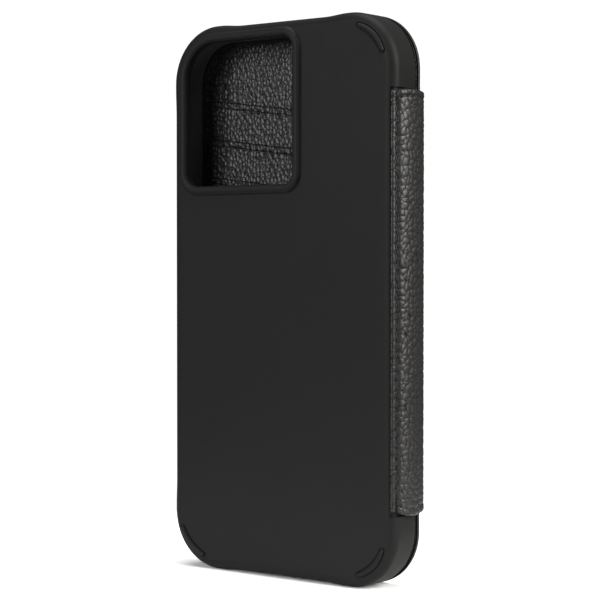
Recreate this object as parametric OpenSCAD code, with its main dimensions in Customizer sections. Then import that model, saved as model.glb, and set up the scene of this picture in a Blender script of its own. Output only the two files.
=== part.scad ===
// Phone wallet case: a moulded tray for a phone, with a leather folio hinged on its long edge.
// The case stands upright. X is its width, Y its thickness from the back to the cover, Z its height.
// Shapes are drawn about the middle of the tray's back face, then placed on the row's origin.

/* [Phone] */
// Width of the phone that the tray holds
phone_w = 71.5; // [70:0.1:75]
// Height of the phone that the tray holds
phone_h = 146.7; // [144:0.1:150]
// Thickness of the phone without its camera
phone_t = 7.65; // [7:0.05:8.5]
// Corner radius of the phone
phone_r = 11.6; // [10:0.1:12]

/* [Tray] */
// Width across the tray's flat sides
tray_w = 78.5; // [78.5:0.1:80]
// Height across the tray's flat ends
tray_h = 154.2; // [154:0.1:156]
// Radius of the tray's corners
tray_r = 15.5; // [14:0.5:17]
// Rounding where the back turns into the sides
back_round = 2.8; // [2:0.1:3]
// Thickness of the back plate
plate_t = 1.4; // [1.2:0.1:1.6]
// Thickness of the moulded side wall, outside the liner
wall_t = 1.6; // [1.4:0.1:1.8]
// How far the corner bumpers stand out past the ends
bump_z = 0.5; // [0.2:0.1:0.8]
// How far the corner bumpers stand out past the sides
bump_x = 0.2; // [0.1:0.1:0.4]

/* [Camera opening] */
// Left edge of the opening
cam_x0 = -33.5; // [-34:0.1:-33]
// Right edge of the opening
cam_x1 = 5.6; // [4:0.1:8]
// Lower edge of the opening
cam_z0 = 31.9; // [30:0.1:34]
// Upper edge of the opening
cam_z1 = 72.7; // [71:0.1:73]
// Width of the raised rim round the opening
rim_w = 2.4; // [1.8:0.1:2.6]
// Height of the raised rim above the back
rim_t = 1.3; // [1:0.1:1.6]

/* [Folio] */
// Height of the leather spine
spine_h = 112.4; // [108:0.2:116]
// Widest reach of the spine past the middle of the tray
spine_x = 41.2; // [41.1:0.05:41.6]
// Thickness of the outer leather
leather_t = 0.8; // [0.7:0.05:0.9]
// Thickness of each skived leather panel inside the cover
panel_t = 0.4; // [0.35:0.05:0.45]
// Slant of the card slots, falling towards the spine
slot_slant = 7.4; // [0:0.1:9]
// Drop from one card slot to the next
slot_step = 11.1; // [10:0.1:12]
// Height of the first card slot on the tray's middle line
slot_z = 53.1; // [50:0.1:56]
// Length from one stitch to the next
stitch_pitch = 2.6; // [2.4:0.1:3]

/* [Hidden] */

eps = 0.01;
arc_steps = 10;          // segments in a corner of an outline
half_w = tray_w / 2;
half_h = tray_h / 2;
fit_gap = 0.15;          // room between the phone and the liner
pocket_w = phone_w / 2 + fit_gap;
pocket_h = phone_h / 2 + fit_gap;
lining_t = 0.4;          // microfibre on the back plate
seat_y = plate_t + lining_t;
glass_y = seat_y + phone_t;
lip_t = 0.75;            // lip that stands past the phone's glass
tray_t = glass_y + lip_t;
lip_over = 0.75;         // lip's reach over the phone's edge
bump_flat = 1.2;         // length of bumper before it starts to fade
bump_ramp = 8;           // length over which the bumper fades
recess_d = 0.5;          // depth of the spine's seat in the side wall

cover_gap = 0.3;         // air between the tray's lip and the card pockets
pocket_y = tray_t + cover_gap;
lining_y = pocket_y + 3 * panel_t;
hem_y = lining_y + panel_t + 0.05;
cover_y = hem_y + 0.85 + leather_t;
cover_x0 = -38.4;
cover_x1 = 37.6;
cover_h = half_h + bump_z;
cover_r = 15;
hem_w = 1;               // width of leather turned round the board's edge
panel_inset = 1.7;       // card panels stay this far inside the cover's edge

fold_a = [40.1, 2.5];    // axis where the spine folds off the tray
fold_b = [39.17, 12.1];  // axis where the cover folds off the spine
spine_r = 11.05;         // curve of the spine's outer face
spine_c = [spine_x - spine_r, 7.2];
bead_a = 0.45;
bead_b = 0.5;

thread_w = 0.5;
thread_t = 0.25;
stitch_l = 2.0;

// The row's origin is the middle of the bounding box, on the floor.
button_proud = 0.45;
origin_x = (spine_x - half_w - button_proud) / 2;
origin_y = (cover_y - rim_t) / 2;
module place() {
    translate([-origin_x, -origin_y, half_h + bump_z]) children();
}

function fade(s) = s <= bump_flat ? 1
    : s >= bump_flat + bump_ramp ? 0
    : 0.5 + 0.5 * cos(180 * (s - bump_flat) / bump_ramp);
steps = [0, 1.2, 2.5, 3.8, 5.2, 6.6, 8, 9.2];

// The upper right quarter of an outline with fading corner bumpers, side first.
function quarter(w, h, r, inset, bx, bz) = concat(
    [for (i = [len(steps) - 1:-1:1]) [w - inset + bx * fade(steps[i]), h - r - steps[i]]],
    [for (i = [0:arc_steps]) let (a = 90 * i / arc_steps)
        [w - r + (r - inset + bx) * cos(a), h - r + (r - inset + bz) * sin(a)]],
    [for (i = [1:len(steps) - 1]) [w - r - steps[i], h - inset + bz * fade(steps[i])]]);
function reversed(p) = [for (i = [len(p) - 1:-1:0]) p[i]];
function mirrored(q, sx, sz) = [for (p = q) [sx * p[0], sz * p[1]]];
function tray_outline(inset, bx = bump_x, bz = bump_z) =
    let (q = quarter(half_w, half_h, tray_r, inset, bx, bz))
    concat(q, reversed(mirrored(q, -1, 1)), mirrored(q, -1, -1), reversed(mirrored(q, 1, -1)));

// A rectangle with a radius for each corner: upper right, upper left, lower left, lower right.
function round_rect(x0, x1, z0, z1, r, n = arc_steps) = concat(
    [for (i = [0:n]) let (a = 90 * i / n) [x1 - r[0] + r[0] * cos(a), z1 - r[0] + r[0] * sin(a)]],
    [for (i = [0:n]) let (a = 90 + 90 * i / n) [x0 + r[1] + r[1] * cos(a), z1 - r[1] + r[1] * sin(a)]],
    [for (i = [0:n]) let (a = 180 + 90 * i / n) [x0 + r[2] + r[2] * cos(a), z0 + r[2] + r[2] * sin(a)]],
    [for (i = [0:n]) let (a = 270 + 90 * i / n) [x1 - r[3] + r[3] * cos(a), z0 + r[3] + r[3] * sin(a)]]);

// The camera opening's corners, anticlockwise from the lower right: radius, then centre.
cam_r = [3.2, 3.6, 10.5, 4];
cam_c = [[cam_x1 - cam_r[0], cam_z0 + cam_r[0]], [cam_x1 - cam_r[1], cam_z1 - cam_r[1]],
    [cam_x0 + cam_r[2], cam_z1 - cam_r[2]], [cam_x0 + cam_r[3], cam_z0 + cam_r[3]]];
function cover_outline(inset) = round_rect(cover_x0 + inset, cover_x1 - inset, -cover_h + inset, cover_h - inset,
    [for (i = [0:3]) cover_r - inset]);
function phone_outline(grow) = round_rect(-phone_w / 2 - grow, phone_w / 2 + grow, -phone_h / 2 - grow,
    phone_h / 2 + grow, [for (i = [0:3]) phone_r + grow]);

// A plate between two values of Y, from an outline in X and Z.
module slab(outline, y0, y1) {
    translate([0, y1, 0]) rotate([90, 0, 0]) linear_extrude(y1 - y0) polygon(outline);
}

// A solid through a list of outlines with the same number of points, each at its own Y.
module loft(outlines, ys) {
    n = len(outlines[0]);
    m = len(outlines);
    polyhedron(
        points = [for (k = [0:m - 1]) for (p = outlines[k]) [p[0], ys[k], p[1]]],
        faces = concat(
            [[for (i = [n - 1:-1:0]) i]],
            [for (k = [0:m - 2]) for (i = [0:n - 1]) let (j = (i + 1) % n)
                [k * n + j, (k + 1) * n + j, (k + 1) * n + i, k * n + i]],
            [[for (i = [0:n - 1]) (m - 1) * n + i]]));
}

// A round-ended slot through the side wall, from x0 to x1.
module side_slot(x0, x1, z, length, height, y) {
    for (end = [-1, 1])
        translate([x0, y, z + end * (length - height) / 2])
            rotate([0, 90, 0]) cylinder(d = height, h = x1 - x0, $fn = 48);
    translate([x0, y - height / 2, z - (length - height) / 2]) cube([x1 - x0, height, length - height]);
}
// The same slot through an end wall, from z0 to z1.
module end_slot(x, z0, z1, length, height, y) {
    for (end = [-1, 1])
        translate([x + end * (length - height) / 2, y, z0]) cylinder(d = height, h = z1 - z0, $fn = 48);
    translate([x - (length - height) / 2, y - height / 2, z0]) cube([length - height, height, z1 - z0]);
}

mid_y = seat_y + phone_t / 2;     // the phone's buttons and port lie on this line
mute_z = 43.9;
volume_up_z = 30;
volume_down_z = 16.4;
side_button_z = 20.3;
volume_l = 11;
side_button_l = 17;
button_h = 3.4;
button_gap = 0.3;
flange_h = button_h + 1.4;        // retaining flange behind each button cap
flange_t = 0.6;
flange_gap = 0.3;
cavity_t = 1.4;                   // depth of the flange's room in the liner

// Cuts that the shell and its liner share: mute switch, charging port and speaker slots.
module shared_cuts() {
    side_slot(pocket_w - 1, half_w + 1, mute_z, 11, 5, mid_y);
    end_slot(0, -half_h - 1, -pocket_h + 1, 13, 6.2, mid_y);
    for (side = [-1, 1]) end_slot(side * 17.5, -half_h - 1, -pocket_h + 1, 13, 3, mid_y);
}

// The camera opening's area, grown outwards, as a plate between two values of Y.
module cam_plate(grow, y0, y1) {
    translate([0, y1, 0]) rotate([90, 0, 0]) linear_extrude(y1 - y0) {
        polygon([for (i = [0:3]) for (k = [0, 1])
            cam_c[i] + (cam_r[i] + grow) * [cos(90 * (i + k - 1)), sin(90 * (i + k - 1))]]);
        for (i = [0:3]) translate(cam_c[i]) circle(r = cam_r[i] + grow, $fn = 64);
    }
}
// The rim's section: distance out from the opening's edge, and height above the back.
module rim_section() {
    n = 8;
    polygon(concat([[rim_w, -0.4], [0, -0.4]],
        [for (i = [0:n]) let (a = 180 - 180 * i / n)
            [rim_w / 2 + rim_w / 2 * cos(a), 0.1 + (rim_t - 0.1) * sin(a)]]));
}
module camera_rim() {
    rotate([90, 0, 0]) for (i = [0:3]) {
        next = cam_c[(i + 1) % 4];
        out = [cos(90 * i), sin(90 * i)];
        start = cam_c[i] + cam_r[i] * out;
        end = next + cam_r[(i + 1) % 4] * out;
        translate(cam_c[i]) rotate([0, 0, 90 * (i - 1)]) rotate_extrude(angle = 90, $fn = 64)
            translate([cam_r[i], 0]) rim_section();
        translate(end) rotate([0, 0, 90 * i]) rotate([90, 0, 0]) linear_extrude(norm(end - start)) rim_section();
    }
}

// The raised arc that guards each corner without a camera: its outline is an arc band with round ends.
rib_r = 12.7;
rib_a0 = 19;
rib_a1 = 75;
function dir(a) = [cos(a), sin(a)];
function rib_band(w, n = 14, m = 6) = concat(
    [for (i = [0:n]) (rib_r + w) * dir(rib_a0 + (rib_a1 - rib_a0) * i / n)],
    [for (i = [1:m - 1]) rib_r * dir(rib_a1) + w * dir(rib_a1 + 180 * i / m)],
    [for (i = [n:-1:0]) (rib_r - w) * dir(rib_a0 + (rib_a1 - rib_a0) * i / n)],
    [for (i = [1:m - 1]) rib_r * dir(rib_a0) + w * dir(rib_a0 + 180 + 180 * i / m)]);
module corner_rib(sx, sz) {
    for (level = [[0.75, 0.35], [0.5, 0.6]])
        slab([for (p = rib_band(level[0])) [sx * (half_w - tray_r + p[0]), sz * (half_h - tray_r + p[1])]],
            -level[1], 0.2);
}

round_a = [for (i = [0:5]) 90 * i / 5];
lip_round = 0.8;
module outer_shell() {
    color([0.13, 0.13, 0.13]) difference() {
        union() {
            loft(concat(
                    [for (a = round_a) tray_outline(back_round * (1 - sin(a)))],
                    [for (a = [0, 45, 90]) tray_outline(lip_round * (1 - cos(a)))]),
                concat([for (a = round_a) back_round * (1 - cos(a))],
                    [for (a = [0, 45, 90]) tray_t - lip_round * (1 - sin(a))]));
            camera_rim();
            corner_rib(1, 1);
            corner_rib(1, -1);
            corner_rib(-1, -1);
        }
        slab(tray_outline(wall_t, 0, 0), plate_t, glass_y);
        slab(phone_outline(-lip_over), glass_y - 1, tray_t + 1);
        cam_plate(0, -rim_t - 1, plate_t + 1);
        translate([half_w - recess_d, 1.2, -spine_h / 2 - 0.4]) cube([2, tray_t - 1.2 + 1, spine_h + 0.8]);
        translate([half_w - back_round, back_round, -spine_h / 2 - 0.4]) linear_extrude(spine_h + 0.8)
            flange_section(back_round - recess_d, back_round + 1, -1, 11);
        for (z = [volume_up_z, volume_down_z])
            side_slot(half_w - wall_t - 1, half_w + 1, z, volume_l + 2 * button_gap, button_h + 2 * button_gap, mid_y);
        side_slot(-half_w - 1, -half_w + wall_t + 1, side_button_z, side_button_l + 2 * button_gap,
            button_h + 2 * button_gap, mid_y);
        shared_cuts();
        keepers(1);
    }
}

keeper_zs = [-38, 52];
keeper_l = 14;
keeper_t = 0.8;
module keepers(over = 0) {
    for (z = keeper_zs)
        translate([-half_w + wall_t - keeper_t, glass_y - 3, z - keeper_l / 2])
            cube([keeper_t + over, 1.6, keeper_l]);
}
module closure_keepers() {
    color([0.6, 0.6, 0.62]) keepers();
}

module shock_liner() {
    color([0.07, 0.07, 0.07]) difference() {
        slab(tray_outline(wall_t, 0, 0), plate_t, glass_y);
        slab(phone_outline(fit_gap), plate_t - 1, glass_y + 1);
        for (z = [volume_up_z, volume_down_z]) {
            side_slot(pocket_w - 1, half_w, z, volume_l + 2 * button_gap - 1, button_h + 2 * button_gap - 1, mid_y);
            side_slot(half_w - wall_t - cavity_t, half_w, z, volume_l + 2, flange_h + 0.6, mid_y);
        }
        side_slot(-half_w, -pocket_w + 1, side_button_z, side_button_l + 2 * button_gap - 1,
            button_h + 2 * button_gap - 1, mid_y);
        side_slot(-half_w, -half_w + wall_t + cavity_t, side_button_z, side_button_l + 2, flange_h + 0.6, mid_y);
        shared_cuts();
    }
}

module back_lining() {
    color([0.09, 0.09, 0.1]) difference() {
        slab(phone_outline(-1.4), plate_t, seat_y);
        cam_plate(0.6, plate_t - 1, seat_y + 1);
    }
}

// A button: a cap that shows, a flange that keeps it in, and a nub that meets the phone. side is 1 or -1.
module button(side, z, length, face_x) {
    inner_x = half_w - wall_t;
    color([0.1, 0.1, 0.1]) mirror([side < 0 ? 1 : 0, 0, 0]) {
        side_slot(inner_x - 0.5, face_x, z, length, button_h, mid_y);
        side_slot(inner_x - flange_t - flange_gap, inner_x - flange_gap, z, length + 1.2, flange_h, mid_y);
        side_slot(pocket_w + 0.4, inner_x - 0.6, z, length - 1.4, button_h - 1.4, mid_y);
    }
}
module side_button() { button(-1, side_button_z, side_button_l, half_w + button_proud); }
module volume_up_button() { button(1, volume_up_z, volume_l, half_w - recess_d + 0.15); }
module volume_down_button() { button(1, volume_down_z, volume_l, half_w - recess_d + 0.15); }

// A piece of a ring round the back edge, in steps of 5.625 degrees: step 0 is 30 degrees from -Y.
module flange_section(r0, r1, first, last) {
    function dir(i) = [sin(30 + 5.625 * i), -cos(30 + 5.625 * i)];
    polygon(concat([for (i = [first:last]) r1 * dir(i)], [for (i = [last:-1:first]) r0 * dir(i)]));
}

flange_out = back_round + 0.35;
module spine_flange() {
    color([0.2, 0.19, 0.19]) difference() {
        translate([half_w - back_round, back_round, -spine_h / 2]) linear_extrude(spine_h)
            flange_section(back_round - recess_d, flange_out, 0, 8);
        flange_row(thread_t + 0.02, stitch_l + 0.02);
    }
}
// Stitches along the flange, let into its surface.
module flange_row(depth, length) {
    count = floor((spine_h - 6) / stitch_pitch);
    translate([half_w - back_round, back_round, 0]) rotate([0, 0, -90 + 60])
        for (i = [0:count]) translate([flange_out - depth, -thread_w / 2, (i - count / 2) * stitch_pitch - length / 2])
            cube([depth + eps, thread_w, length]);
}
module flange_stitching() {
    color([0.03, 0.03, 0.03]) flange_row(thread_t, stitch_l);
}

// Half-angle of the spine's curve for a reach in Y from its middle.
function spine_a(dy, r) = asin(dy / r);
module spine_layer(r0, r1, dy, half) {
    translate([spine_c[0], spine_c[1], -half]) linear_extrude(2 * half) intersection() {
        difference() {
            circle(r = r1, $fn = 180);
            circle(r = r0, $fn = 180);
        }
        translate([r0 / 2, -dy]) square([r1, 2 * dy]);
    }
}

board_t = 0.3;
module spine_leather() {
    half = spine_h / 2;
    color([0.22, 0.21, 0.21]) difference() {
        union() {
            spine_layer(spine_r - leather_t, spine_r, 4.2, half);
            translate([fold_a[0], fold_a[1], -half]) cylinder(r = bead_a, h = spine_h, $fn = 32);
            translate([fold_b[0], fold_b[1], -half]) cylinder(r = bead_b, h = spine_h, $fn = 48);
            translate([0, 0, -half]) linear_extrude(spine_h) {
                polygon([fold_a + [0.4, 0.1], [40.38, 3.3], [39.72, 3.3], fold_a + [-0.3, 0.2]]);
                polygon([fold_b + [0.45, 0.15], [40.3, 11.2], [39.6, 11.2], fold_b + [-0.3, -0.3]]);
            }
        }
        spine_rows(thread_t + 0.02);
    }
}
// Two stitched rows across the spine, near its ends.
module spine_rows(depth) {
    for (end = [-1, 1]) for (i = [-1, 0, 1])
        translate([spine_c[0], spine_c[1], end * (spine_h / 2 - 2)]) rotate([0, 0, i * 13.5])
            translate([spine_r - depth, -stitch_l / 2 + 0.1, -thread_w / 2])
                cube([depth - 0.05, stitch_l - 0.2, thread_w]);
}
module spine_stitching() {
    color([0.03, 0.03, 0.03]) spine_rows(thread_t);
}
module spine_board() {
    color([0.5, 0.45, 0.38]) spine_layer(spine_r - leather_t - board_t, spine_r - leather_t, 3.2, spine_h / 2 - 3);
}
module spine_lining() {
    color([0.12, 0.12, 0.12])
        spine_layer(spine_r - leather_t - 2 * board_t, spine_r - leather_t - board_t, 3.2, spine_h / 2 - 1);
}

edge_round = 1.2;
module cover_leather() {
    spread = [0, 45, 90];
    color([0.2, 0.19, 0.19]) difference() {
        loft(concat([cover_outline(0)], [for (a = spread) cover_outline(edge_round * (1 - cos(a)))]),
            concat([hem_y], [for (a = spread) cover_y - edge_round * (1 - sin(a))]));
        slab(cover_outline(hem_w), hem_y - 1, cover_y - leather_t);
        cover_rows(thread_t + 0.02);
    }
}
module cover_board() {
    color([0.5, 0.45, 0.38]) difference() {
        slab(cover_outline(hem_w), hem_y, cover_y - leather_t);
        magnets(1);
    }
}
module magnets(over = 0) {
    for (z = keeper_zs)
        translate([cover_x0 + 1.6, hem_y - over, z - keeper_l / 2]) cube([2.4, 0.6 + over, keeper_l]);
}
module closure_magnets() {
    color([0.7, 0.7, 0.72]) magnets();
}
module cover_lining() {
    color([0.17, 0.16, 0.16]) slab(cover_outline(0.5), lining_y, hem_y);
}

// A card panel: everything below a slanted mouth, inside the cover's edge.
slope = tan(slot_slant);
panel_x0 = cover_x0 + panel_inset;
panel_x1 = cover_x1 - panel_inset;
module panel(k) {
    z = slot_z - k * slot_step;
    y1 = lining_y - k * panel_t;
    difference() {
        slab([for (p = cover_outline(panel_inset)) [p[0], min(p[1], z - slope * p[0])]], y1 - panel_t, y1);
        slot_row(k, thread_t + 0.02);
    }
}
module card_pocket_upper() { color([0.2, 0.19, 0.19]) panel(0); }
module card_pocket_middle() { color([0.2, 0.19, 0.19]) panel(1); }
module card_pocket_lower() { color([0.2, 0.19, 0.19]) panel(2); }

// Stitches 2 mm below a slot's mouth, let into the panel.
mouth_drop = 2.2;
module slot_row(k, depth) {
    z = slot_z - k * slot_step;
    y0 = lining_y - (k + 1) * panel_t;
    count = floor((panel_x1 - panel_x0 - 6) / stitch_pitch);
    middle = (panel_x0 + panel_x1) / 2;
    translate([middle, y0 - eps, z - slope * middle - mouth_drop]) rotate([0, slot_slant, 0])
        for (i = [0:count]) translate([(i - count / 2) * stitch_pitch - stitch_l / 2, 0, -thread_w / 2])
            cube([stitch_l, depth + eps, thread_w]);
}
module slot_stitching() {
    color([0.03, 0.03, 0.03]) for (k = [0, 1, 2]) slot_row(k, thread_t);
}

// Stitches round the cover's outer face: straight runs, with the corners turned stitch by stitch.
row_inset = 2.2;
module cover_rows(depth) {
    x0 = cover_x0 + row_inset;
    x1 = cover_x1 - row_inset;
    zt = cover_h - row_inset;
    r = cover_r - row_inset;
    y0 = cover_y - depth;
    nx = floor((x1 - x0 - 2 * r) / stitch_pitch);
    nz = floor((2 * zt - 2 * r) / stitch_pitch);
    na = 7;
    for (z = [-zt, zt]) for (i = [0:nx - 1])
        translate([(x0 + x1) / 2 + (i - (nx - 1) / 2) * stitch_pitch - stitch_l / 2, y0, z - thread_w / 2])
            cube([stitch_l, depth + eps, thread_w]);
    for (x = [x0, x1]) for (i = [0:nz - 1])
        translate([x - thread_w / 2, y0, (i - (nz - 1) / 2) * stitch_pitch - stitch_l / 2])
            cube([thread_w, depth + eps, stitch_l]);
    for (sx = [0, 1]) for (sz = [-1, 1]) for (i = [0:na - 1])
        translate([sx == 0 ? x0 + r : x1 - r, y0, sz * (zt - r)])
            rotate([0, (sx == 0 ? 180 : 0) + (sx == 0 ? 1 : -1) * sz * 90 * (i + 0.5) / na, 0])
                translate([r - thread_w / 2, 0, -stitch_l / 2]) cube([thread_w, depth + eps, stitch_l]);
}
module cover_stitching() {
    color([0.03, 0.03, 0.03]) cover_rows(thread_t);
}

place() {
    outer_shell();
    shock_liner();
    back_lining();
    spine_flange();
    flange_stitching();
    closure_keepers();
    side_button();
    volume_up_button();
    volume_down_button();
    spine_leather();
    spine_board();
    spine_lining();
    spine_stitching();
    cover_leather();
    cover_board();
    cover_lining();
    card_pocket_upper();
    card_pocket_middle();
    card_pocket_lower();
    closure_magnets();
    cover_stitching();
    slot_stitching();
}
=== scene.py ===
import math

import bmesh
import bpy
import numpy as np
from mathutils import Matrix, Vector


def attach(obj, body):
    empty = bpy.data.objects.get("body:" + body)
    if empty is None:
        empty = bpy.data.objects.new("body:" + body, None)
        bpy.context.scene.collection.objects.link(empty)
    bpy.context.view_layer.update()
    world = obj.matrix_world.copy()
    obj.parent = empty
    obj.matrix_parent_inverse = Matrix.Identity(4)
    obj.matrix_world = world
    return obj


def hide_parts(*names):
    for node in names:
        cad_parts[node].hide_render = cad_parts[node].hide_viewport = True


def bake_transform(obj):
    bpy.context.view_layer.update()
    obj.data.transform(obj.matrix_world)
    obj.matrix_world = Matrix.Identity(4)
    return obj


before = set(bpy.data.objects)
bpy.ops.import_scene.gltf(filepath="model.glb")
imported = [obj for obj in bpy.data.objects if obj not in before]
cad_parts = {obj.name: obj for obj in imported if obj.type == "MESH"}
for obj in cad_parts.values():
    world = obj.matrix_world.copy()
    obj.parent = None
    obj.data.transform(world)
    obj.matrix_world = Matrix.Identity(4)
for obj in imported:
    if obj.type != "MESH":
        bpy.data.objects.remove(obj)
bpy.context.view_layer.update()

# ---------------------------------------------------------------- sizes
# Millimetres in the object's own frame: X width, Y thickness from the back to the cover, Z height about
# the tray's middle. W and H are half a width and half a height, R a corner's radius, T a thickness.
TRAY_W, TRAY_H, TRAY_R, TRAY_T = 39.25, 77.1, 15.5, 10.2
BACK_ROUND, PLATE_T, WALL_T = 2.8, 1.4, 1.6
BUMP_X, BUMP_Z = 0.2, 0.5  # how far the corners' bumpers stand out
PHONE_W, PHONE_H, PHONE_R, PHONE_T = 35.75, 73.35, 11.6, 7.65
SEAT_Y, GLASS_Y = 1.8, 9.45  # the phone's back and front
LIP_OVER, LIP_ROUND = 0.75, 0.8  # how far the lip reaches over the phone, and its rounding
MID_Y = SEAT_Y + PHONE_T / 2
CAM_X0, CAM_X1, CAM_Z0, CAM_Z1 = -33.5, 5.6, 31.9, 72.7
CAM_R = [3.2, 3.6, 10.5, 4.0]  # lower right, upper right, upper left, lower left
RIM_W, RIM_T = 2.4, 1.3
MUTE_Z, UP_Z, DOWN_Z, SIDE_Z = 43.9, 30.0, 16.4, 20.3  # the mute opening and the buttons
BUTTON_H, VOLUME_L, SIDE_L = 3.4, 11.0, 17.0
PORT_X = 17.5
RIB_MID, RIB_STEPS = 12.7, 40  # a rib's arc about its corner's centre
SPINE_H = 112.4
SPINE_LOW, SPINE_TOP = -55.95, 55.75
STITCH_PITCH, END_PITCH = 2.6, 2.3
LINING_Y, HEM_Y, COVER_Y = 11.7, 12.15, 13.8  # the cover's layers, from its inner face out
COVER_X0, COVER_X1, COVER_H, COVER_R = -38.4, 38.7, 77.6, 15.0
COVER_ROUND, COVER_SEAM = 1.2, 2.2
PANEL_T, PANEL_INSET = 0.4, 1.7
SLANT = math.radians(7.4)  # of the card slots
SLOT_Z, SLOT_STEP, SLOT_SEAM = 53.1, 11.1, 2.1  # the first card slot, the next ones, their stitches below
GRAIN, FINE_GRAIN = 1.75, 0.91  # the outer leather's pebbles, and the finer ones over them

ORIGIN = np.array([0.75, 6.25, -77.6])  # the row frame's origin


def place(points):
    """Millimetres in the object's frame as metres in the row frame."""
    return (np.asarray(points, float) - ORIGIN) * 0.001


def point(x, y, z=0.0):
    return tuple(place([x, y, z]))


# ---------------------------------------------------------------- meshes
def make(name, verts, faces, material, body=None, slot=None, replaces=(), smooth=35, grain=None,
         lit_share=None):
    """A piece from millimetre points. grain is (u, v) in mm and the lit share a 0..1 value, both per
    vertex; the leathers paint shade into their colour where the lit share is low.
    """
    me = bpy.data.meshes.new(name)
    me.from_pydata([tuple(p) for p in place(verts)], [], [tuple(int(i) for i in f) for f in faces])
    me.validate()
    bm = bmesh.new()
    bm.from_mesh(me)
    bmesh.ops.recalc_face_normals(bm, faces=bm.faces)
    bm.to_mesh(me)
    bm.free()
    if grain is not None:
        layer = me.uv_layers.new(name="grain")
        index = np.empty(len(me.loops), np.int32)
        me.loops.foreach_get("vertex_index", index)
        layer.data.foreach_set("uv", (np.asarray(grain)[index] * 0.01).astype(np.float32).ravel())
    if lit_share is not None:
        attribute = me.attributes.new("lit_share", "FLOAT", "POINT")
        attribute.data.foreach_set("value", np.asarray(lit_share, np.float32))
    me.shade_smooth()
    me.set_sharp_from_angle(angle=math.radians(smooth))
    me.materials.append(material)
    obj = bpy.data.objects.new(name, me)
    bpy.context.scene.collection.objects.link(obj)
    if body:
        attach(obj, body)
    if replaces:
        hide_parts(*replaces)
    return obj


def loft(rings, closed=False):
    """Points and faces through rings with one point count: capped at both ends, or joined into a loop."""
    n, m = len(rings[0]), len(rings)
    faces = []
    for k in range(m if closed else m - 1):
        a, b = k * n, ((k + 1) % m) * n
        faces += [(a + i, b + i, b + (i + 1) % n, a + (i + 1) % n) for i in range(n)]
    if not closed:
        faces += [tuple(range(n)), tuple(range((m - 1) * n, m * n))]
    return np.concatenate(rings), faces


def quads(grid):
    """The faces between the rows and columns of a grid of indices."""
    corners = (grid[:-1, :-1], grid[:-1, 1:], grid[1:, 1:], grid[1:, :-1])
    return list(zip(*(part.ravel() for part in corners)))


def sheet(outer, inner):
    """Points and faces of a closed sheet between two grids of points."""
    m, n = outer.shape[:2]
    index, back = np.arange(m * n).reshape(m, n), m * n
    faces = quads(index)
    faces += [(d + back, c + back, b + back, a + back) for a, b, c, d in faces]
    for line in (index[0, :], index[-1, ::-1], index[::-1, 0], index[:, -1]):
        faces += [(q, p, p + back, q + back) for p, q in zip(line[:-1], line[1:])]
    return np.concatenate([outer.reshape(-1, 3), inner.reshape(-1, 3)]), faces


def merge(parts):
    """Several (points, faces) as one."""
    verts, faces, base = [], [], 0
    for v, f in parts:
        verts.append(np.asarray(v, float))
        faces += [tuple(i + base for i in face) for face in f]
        base += len(v)
    return np.concatenate(verts), faces


def cut(obj, cutters, smooth):
    """Subtracts solids, each (points, faces), from a piece."""
    tool = make("tool", *merge(cutters), obj.data.materials[0])
    world = obj.matrix_world.copy()
    mod = obj.modifiers.new("cut", "BOOLEAN")
    mod.operation, mod.solver, mod.object = "DIFFERENCE", "EXACT", tool
    bpy.context.view_layer.update()
    graph = bpy.context.evaluated_depsgraph_get()
    new = bpy.data.meshes.new_from_object(obj.evaluated_get(graph))
    obj.modifiers.clear()
    obj.data = new
    obj.matrix_world = world
    bpy.data.objects.remove(tool)
    new.shade_smooth()
    new.set_sharp_from_angle(angle=math.radians(smooth))


# ---------------------------------------------------------------- outlines
FADE_STEPS = [0.6, 1.2, 2.0, 2.8, 3.6, 4.4, 5.2, 6.0, 6.8, 7.6, 8.4, 9.2]
FADE_FROM, FADE_TO = 1.2, 9.2


def fade(s):
    """A bumper's share at a distance s past its corner's arc."""
    t = min(max((s - FADE_FROM) / (FADE_TO - FADE_FROM), 0.0), 1.0)
    return 0.5 + 0.5 * math.cos(math.pi * t)


def quarter_turn(n):
    return [math.pi / 2 * i / n for i in range(n + 1)]


def at_y(outline, y):
    return np.array([(x, y, z) for x, z in outline])


def rounded(w, h, r, inset=0.0, bx=0.0, bz=0.0):
    """A rounded rectangle about the middle, with bumpers that fade away from its corners."""
    q = [(w - inset + bx * fade(s), h - r - s) for s in reversed(FADE_STEPS)]
    q += [(w - r + (r - inset + bx) * math.cos(a), h - r + (r - inset + bz) * math.sin(a))
          for a in quarter_turn(20)]
    q += [(w - r - s, h - inset + bz * fade(s)) for s in FADE_STEPS]
    q += [(-x, z) for x, z in reversed(q)]
    return q + [(x, -z) for x, z in reversed(q)]


def tray_ring(inset, y):
    """The tray's outline, drawn in by inset, at a depth y."""
    return at_y(rounded(TRAY_W, TRAY_H, TRAY_R, inset, BUMP_X, BUMP_Z), y)


def phone_ring(grow, y):
    """The phone's outline, grown, at a depth y."""
    return at_y(rounded(PHONE_W + grow, PHONE_H + grow, PHONE_R + grow), y)


def cam_path(n=16, straight=6):
    """The camera opening's edge, anticlockwise from its lower right: points and outward directions."""
    centres = [(CAM_X1 - CAM_R[0], CAM_Z0 + CAM_R[0]), (CAM_X1 - CAM_R[1], CAM_Z1 - CAM_R[1]),
               (CAM_X0 + CAM_R[2], CAM_Z1 - CAM_R[2]), (CAM_X0 + CAM_R[3], CAM_Z0 + CAM_R[3])]
    pts, outs = [], []
    for i in range(4):
        for k in range(n + 1):
            a = math.pi / 2 * (i - 1 + k / n)
            out = np.array([math.cos(a), math.sin(a)])
            pts.append(np.array(centres[i]) + CAM_R[i] * out)
            outs.append(out)
        last, out, after = pts[-1], outs[-1], (i + 1) % 4
        ahead = np.array(centres[after]) + CAM_R[after] * out
        for k in range(1, straight):
            pts.append(last + (ahead - last) * k / straight)
            outs.append(out)
    return np.array(pts), np.array(outs)


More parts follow.
